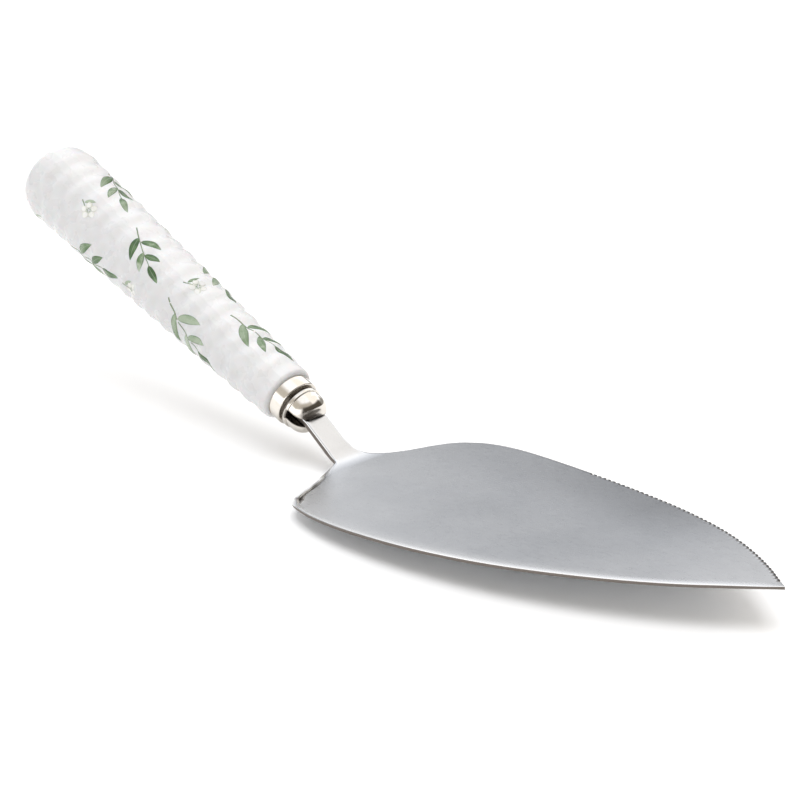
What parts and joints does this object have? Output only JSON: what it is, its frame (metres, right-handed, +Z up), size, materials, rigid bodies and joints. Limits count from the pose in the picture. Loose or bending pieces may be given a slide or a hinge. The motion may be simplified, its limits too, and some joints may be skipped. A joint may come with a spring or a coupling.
{
  "type": "cake server",
  "caption": "Cake server with a flat pointed leaf blade, a finely toothed edge, a cranked neck, a plated ferrule and a rippled porcelain handle.",
  "frame": {"origin": "on the blade's underside, on its centre line, midway between the two shoulders", "axes": "+X along the blade towards the tip, +Y towards the toothed edge, +Z up from the flat of the blade"},
  "size_m": [0.259, 0.0695, 0.0725],
  "materials": {
    "porcelain": "clear glossy glaze over white porcelain with a small printed leaf pattern",
    "cement": "matt setting cement, hidden",
    "plated_collar": "polished warm nickel plate",
    "plated_cap": "polished warm nickel plate",
    "blade_steel": "satin stainless steel with polished edges"
  },
  "bodies": {
    "root": {"handle": "porcelain", "setting_cement": "cement", "collar": "plated_collar", "bolster_cap": "plated_cap", "blade": "blade_steel"}
  },
  "joints": []
}
